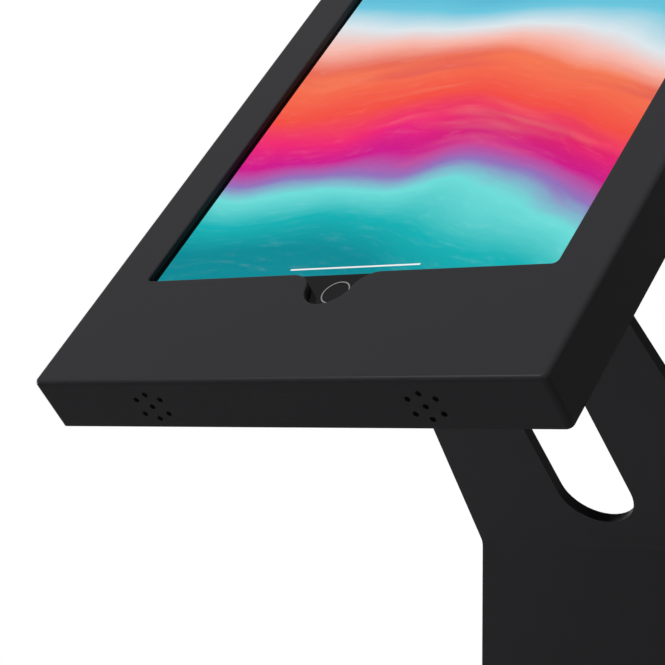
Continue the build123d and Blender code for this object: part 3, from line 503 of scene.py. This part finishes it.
class KIOSK_OT_rubber_and_plastic(bpy.types.Operator):
    """Finish the feet, the trims, the cap, the corner blocks and the gasket"""

    bl_idname = "kiosk.rubber_and_plastic"
    bl_label = "Rubber and plastic"

    def execute(self, context):
        feet = [name for name in NODES if name.startswith(("foot_front", "foot_rear"))]
        put_on(ribbed_rubber("foot_rubber", 2.0 * MM), "outlet_trim", "cap_grommet", *feet)
        put_on(moulded_plastic("cap_plastic", tone(36, 36, 37), 0.5, 0.5 * MM), "column_cap")
        blocks = [name for name in NODES if name.startswith("corner_block")]
        put_on(moulded_plastic("block_plastic", tone(44, 44, 45), 0.6, 0.7 * MM), *blocks)
        put_on(closed_foam("gasket_foam"), "gasket")
        return {"FINISHED"}


class KIOSK_OT_tablet(bpy.types.Operator):
    """Finish the tablet's glass, shell, buttons and what lies inside it"""

    bl_idname = "kiosk.tablet"
    bl_label = "Tablet"

    def execute(self, context):
        settings = context.scene.kiosk
        put_on(self.front_glass(), "tablet_glass")
        shell = anodised("tablet_shell", (*settings.shell_colour, 1.0))
        put_on(shell, "tablet_shell", "power_button", "volume_up_button", "volume_down_button")
        put_on(polished("button_black", tone(28, 28, 29), 0.22, 0.02), "home_button")
        put_on(anodised("ring_metal", tone(112, 112, 115)), "home_ring", "charging_port")
        put_on(polished("lens_black", tone(12, 13, 18), 0.05, 0.5), "rear_camera")
        put_on(cell_wrap("cell_wrap"), "battery", "speaker_left", "speaker_right")
        put_on(circuit_board("circuit_board"), "logic_board")
        return {"FINISHED"}

    @staticmethod
    def front_glass():
        """Glass that is clear over the display, with a black border printed behind it all round and
        faint fingertip smears."""
        clearness = 0.96
        glass = Shader("front_glass")
        low, high = span("display_panel", UP)
        half_width = span("display_panel", ACROSS)[1]
        across = abs(glass.along(ACROSS)) < half_width
        up = abs(glass.along(UP) - (low + high) / 2.0) < (high - low) / 2.0
        smears = face_smears(glass, 0.012)
        return glass.surface({
            "Base Color": tone(30, 30, 31),
            "Roughness": 0.08 + smears.step(0.5, 0.8) * 0.12,
            "Specular IOR Level": 0.02,
            "Alpha": 1.0 - across * up * clearness,
        })


class KIOSK_OT_screen_picture(bpy.types.Operator):
    """Light the display with a picture of soft coloured waves and a plain slider bar"""

    bl_idname = "kiosk.screen_picture"
    bl_label = "Screen picture"

    def execute(self, context):
        settings = context.scene.kiosk
        columns, rows = 49, 65
        gap_under_glass = 0.02 * MM
        left, right = span("display_panel", ACROSS)
        low, high = span("display_panel", UP)
        front = span("display_panel", OUT)[1] - gap_under_glass
        across = np.linspace(left, right, columns)[None, :, None]
        up = np.linspace(low, high, rows)[:, None, None]
        points = across * np.array(ACROSS) + up * np.array(UP) + front * np.array(OUT)
        piece = grid_piece("screen_picture", points)
        solid = piece.modifiers.new("thickness", "SOLIDIFY")
        solid.thickness = settings.picture_depth
        solid.offset = -1.0
        piece.data.materials.append(self.wave_picture(settings, right - left, high - low))
        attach(piece, "stand")
        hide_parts("display_panel")
        return {"FINISHED"}

    @staticmethod
    def wave_picture(settings, width, height):
        """Broad soft ribbons of colour that come down across the screen from the left. Their field
        is the height on the screen plus a share of the way across, bent by two slow sine waves and
        a soft noise; a ramp turns the field into colour. Noise drawn out along the ribbons gives
        the warm ones deeper and paler folds, and a finer one grains them all. A white bar with
        round ends stands near the foot."""
        lit = Shader("wave_picture")
        x, y, _ = lit.parts(lit.node("ShaderNodeUVMap").outputs[0])
        soft = lit.noise_at(lit.vector(x * 1.2, y * 1.6), 2.0, detail=1.0)
        sway = lit.math("SINE", x * 3.9 - y * 1.7 + 2.6) * 0.060
        roll = lit.math("SINE", x * 2.2 + y * 6.5 + 0.9) * 0.030
        field = y + (x - 0.5) * 0.24 + sway + roll + (soft - 0.5) * 0.16
        grain = lit.noise_at(lit.vector(x * 14.0, field * 90.0, 4.1), 1.0, detail=6.0, rough=0.75)
        ribbons = lit.node("ShaderNodeValToRGB", {"stops": [
            (0.00, tone(18, 144, 156)),
            (0.08, tone(26, 184, 188)),
            (0.15, tone(116, 230, 226)),
            (0.19, tone(150, 120, 196)),
            (0.23, tone(214, 30, 150)),
            (0.28, tone(248, 44, 120)),
            (0.34, tone(252, 84, 72)),
            (0.46, tone(255, 128, 88)),
            (0.52, tone(255, 196, 184)),
            (0.57, tone(228, 240, 246)),
            (0.64, tone(112, 206, 230)),
            (0.78, tone(30, 150, 196)),
            (1.00, tone(14, 92, 140)),
        ]}, {0: field + (grain - 0.5) * 0.02})
        warm = field.step(0.20, 0.27) * (1.0 - field.step(0.44, 0.52))
        folds = lit.noise_at(lit.vector(x * 1.3, field * 11.0, 1.3), 1.0)
        deep = warm * (1.0 - folds.step(0.36, 0.52))
        crests = lit.noise_at(lit.vector(x * 1.5, field * 13.0, 7.7), 1.0, detail=3.0)
        pale = warm * crests.step(0.54, 0.74)
        picture = lit.mix(deep * 0.35, ribbons.outputs[0], tone(196, 20, 96))
        picture = lit.mix(pale * 0.45, picture, tone(255, 170, 130))
        picture = lit.mix(grain.step(0.50, 0.90) * 0.10, picture, tone(255, 244, 244))
        reach = settings.slider_length / 2.0 - settings.slider_thickness / 2.0
        beside = lit.math("MAXIMUM", abs((x - 0.5) * width) - reach, 0.0)
        above = y * height - settings.slider_height
        away = lit.math("SQRT", beside * beside + above * above)
        bar = away < settings.slider_thickness / 2.0
        return lit.surface({
            "Base Color": (0.0, 0.0, 0.0, 1.0),
            "Specular IOR Level": 0.0,
            "Roughness": 0.5,
            "Emission Color": lit.mix(bar, picture, tone(255, 255, 255)),
            "Emission Strength": settings.screen_light,
        })


class KIOSK_OT_stage(bpy.types.Operator):
    """Set up the floor, the soft lamps, the white surroundings and the camera"""

    bl_idname = "kiosk.stage"
    bl_label = "Stage"

    def execute(self, context):
        settings = context.scene.kiosk
        scene = context.scene
        scene.view_settings.view_transform = "Standard"
        self.make_floor(settings)
        self.make_world(scene, settings)
        self.make_lamps(scene)
        self.make_camera(scene)
        return {"FINISHED"}

    @staticmethod
    def make_floor(settings):
        """Round floor: rings of points whose radius grows evenly from the middle to the edge. A
        camera sees it partly white, and wholly white towards its edge."""
        sides, rings = 96, 8
        depth = 0.5 * MM
        fade_start = settings.floor_radius * 0.35
        fade_end = settings.floor_radius * 0.95
        least_white = 0.35
        turn = np.linspace(0.0, 2.0 * math.pi, sides + 1)[None, :]
        radius = np.linspace(0.0, settings.floor_radius, rings + 1)[:, None]
        level = np.full((rings + 1, sides + 1), -depth)
        points = np.stack([radius * np.cos(turn), radius * np.sin(turn), level], axis=-1)
        floor = grid_piece("studio_floor", points, uv=False)
        pale = Shader("studio_floor")
        x, y, _ = pale.parts(pale.place())
        far = pale.math("SQRT", x * x + y * y).step(fade_start, fade_end)
        matt = pale.node("ShaderNodeBsdfDiffuse", None, {"Color": (*settings.floor_colour, 1.0)})
        white = pale.node("ShaderNodeEmission", None, {"Color": WHITE, "Strength": 1.0})
        path = pale.node("ShaderNodeLightPath")
        seen = Value(pale, path.outputs["Is Camera Ray"])
        share = seen * (least_white + far * (1.0 - least_white))
        inputs = {0: share, 1: matt.outputs[0], 2: white.outputs[0]}
        mixed = pale.node("ShaderNodeMixShader", None, inputs)
        pale.node("ShaderNodeOutputMaterial", None, {"Surface": mixed.outputs[0]})
        floor.data.materials.append(pale.material)

    @staticmethod
    def make_world(scene, settings):
        """White where a camera, glossy or transmitted ray sees it, and a dim light elsewhere."""
        world = bpy.data.worlds.new("studio")
        studio = Shader("studio", world)
        path = studio.node("ShaderNodeLightPath")
        camera, glossy, through = [
            Value(studio, path.outputs[f"Is {kind} Ray"])
            for kind in ("Camera", "Glossy", "Transmission")
        ]
        seen = studio.math("MAXIMUM", studio.math("MAXIMUM", camera, glossy), through)
        strength = settings.world_light + seen * (1.0 - settings.world_light)
        light = studio.node("ShaderNodeBackground", None, {"Color": WHITE, "Strength": strength})
        studio.node("ShaderNodeOutputWorld", None, {"Surface": light.outputs[0]})
        scene.world = world

    @staticmethod
    def make_lamps(scene):
        """Soft lamps, each aimed at the middle of the housing. The sheen lamp isn't seen by diffuse
        rays, so it only draws the light line along the housing's front fold."""
        low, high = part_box("front_housing")
        target = (Vector(low) + Vector(high)) / 2.0
        # Name, place from the housing's middle and diameter in metres, and power in watts
        lamps = (
            ("key_lamp", Vector((0.0, -1.7, 3.0)), 1.6, 101.0),
            ("front_lamp", Vector((-0.9, -2.6, -0.4)), 1.4, 1.5),
            ("left_lamp", Vector((-0.8, -0.03, -0.12)), 0.3, 8.0),
            ("back_lamp", Vector((-0.6, 1.9, -0.1)), 1.2, 14.0),
            ("sheen_lamp", Vector((-1.15, -1.75, 1.3)), 0.6, 140.0),
        )
        for name, offset, size, power in lamps:
            data = bpy.data.lights.new(name, "AREA")
            data.shape = "DISK"
            data.size = size
            data.energy = power
            lamp = bpy.data.objects.new(name, data)
            scene.collection.objects.link(lamp)
            lamp.location = target + offset
            lamp.rotation_euler = (-offset).to_track_quat("-Z", "Y").to_euler()
            lamp.visible_camera = False
            lamp.visible_diffuse = name != "sheen_lamp"

    @staticmethod
    def make_camera(scene):
        """Camera turned about Z, raised about its own X and rolled about its line of sight."""
        frame_pixels = 665.0
        focal_pixels = 2327.3
        centre_pixels = (347.3, 318.3)
        turn = math.radians(37.776)
        rise = math.radians(2.776)
        roll = math.radians(0.437)
        place = Vector((442.0, -601.1, 902.2)) * MM
        data = bpy.data.cameras.new("photo_camera")
        data.sensor_width = 36.0
        data.lens = data.sensor_width * focal_pixels / frame_pixels
        data.shift_x = (frame_pixels / 2.0 - centre_pixels[0]) / frame_pixels
        data.shift_y = (centre_pixels[1] - frame_pixels / 2.0) / frame_pixels
        data.clip_end = 50.0
        camera = bpy.data.objects.new("photo_camera", data)
        scene.collection.objects.link(camera)
        aim = Matrix.Rotation(turn, 4, "Z") @ Matrix.Rotation(math.pi / 2.0 + rise, 4, "X")
        camera.matrix_world = Matrix.Translation(place) @ aim @ Matrix.Rotation(roll, 4, "Z")
        scene.camera = camera


OPERATORS = (
    KIOSK_OT_powder_coat,
    KIOSK_OT_fasteners,
    KIOSK_OT_lock,
    KIOSK_OT_rubber_and_plastic,
    KIOSK_OT_tablet,
    KIOSK_OT_screen_picture,
    KIOSK_OT_stage,
)


class KIOSK_PT_panel(bpy.types.Panel):
    """Lists the settings and the operators in the order in which main() runs them"""

    bl_idname = "KIOSK_PT_panel"
    bl_label = "Kiosk"
    bl_space_type = "VIEW_3D"
    bl_region_type = "UI"
    bl_category = "Kiosk"

    def draw(self, context):
        for name in KioskSettings.__annotations__:
            self.layout.prop(context.scene.kiosk, name)
        for operator in OPERATORS:
            self.layout.operator(operator.bl_idname)


CLASSES = (KioskSettings, *OPERATORS, KIOSK_PT_panel)


def register():
    for item in CLASSES:
        bpy.utils.register_class(item)
    bpy.types.Scene.kiosk = bpy.props.PointerProperty(type=KioskSettings)


def unregister():
    del bpy.types.Scene.kiosk
    for item in reversed(CLASSES):
        bpy.utils.unregister_class(item)


def main():
    register()
    bpy.ops.kiosk.powder_coat()
    bpy.ops.kiosk.fasteners()
    bpy.ops.kiosk.lock()
    bpy.ops.kiosk.rubber_and_plastic()
    bpy.ops.kiosk.tablet()
    bpy.ops.kiosk.screen_picture()
    bpy.ops.kiosk.stage()
    bpy.context.view_layer.update()


if __name__ == "__main__":
    main()
